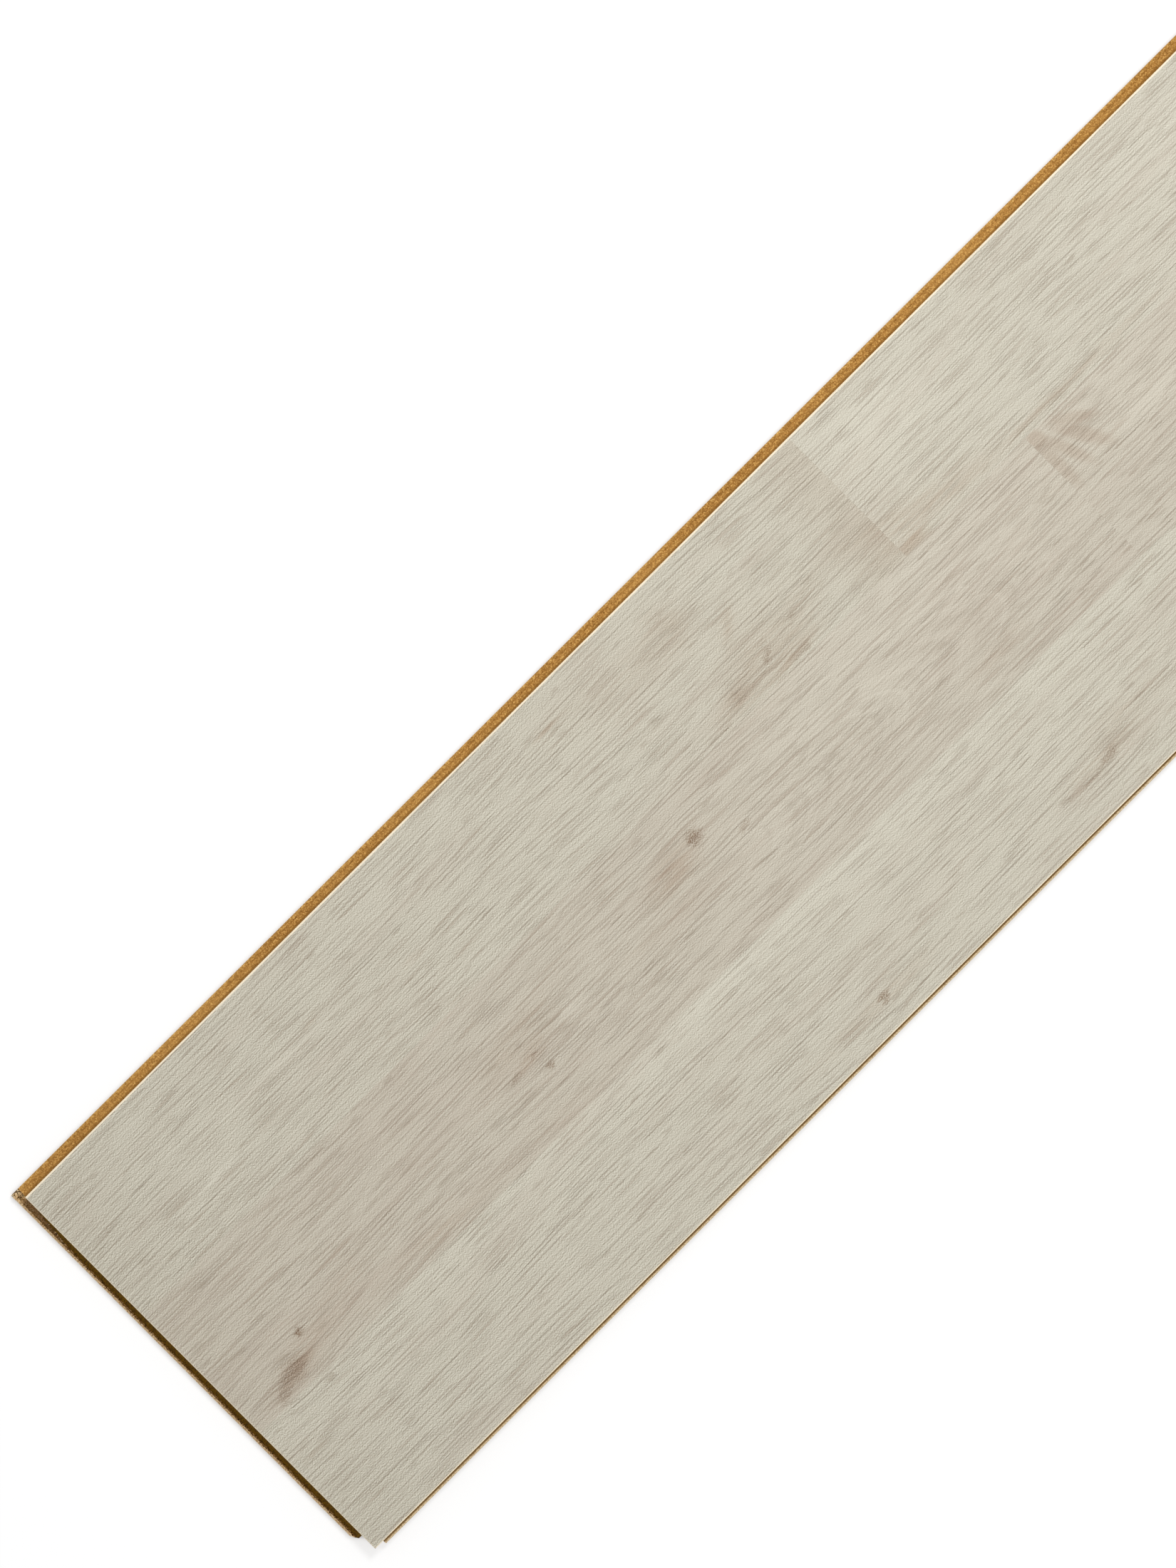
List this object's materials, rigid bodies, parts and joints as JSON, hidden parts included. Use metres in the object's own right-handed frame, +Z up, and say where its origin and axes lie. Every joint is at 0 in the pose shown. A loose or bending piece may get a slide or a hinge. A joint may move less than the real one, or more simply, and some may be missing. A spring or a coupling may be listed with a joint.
{
  "type": "laminate floor plank",
  "caption": "Long thin click-together floor plank: printed pale oak face on a milled fibreboard core, tongue on two edges, groove and locking lip on the other two.",
  "frame": {"origin": "on the underside, below the middle of the printed face, so planks of one floor repeat at the face's length and width", "axes": "+X along the plank from the groove end to the tongue end, +Y across it towards the long edge with the groove and lip, +Z up through the thickness to the printed face"},
  "size_m": [1.2975, 0.1991, 0.008],
  "materials": {
    "fibreboard": "matte",
    "decor_laminate": "satin"
  },
  "bodies": {
    "root": {"hdf_core": "fibreboard", "decor_layer": "decor_laminate"}
  },
  "joints": []
}
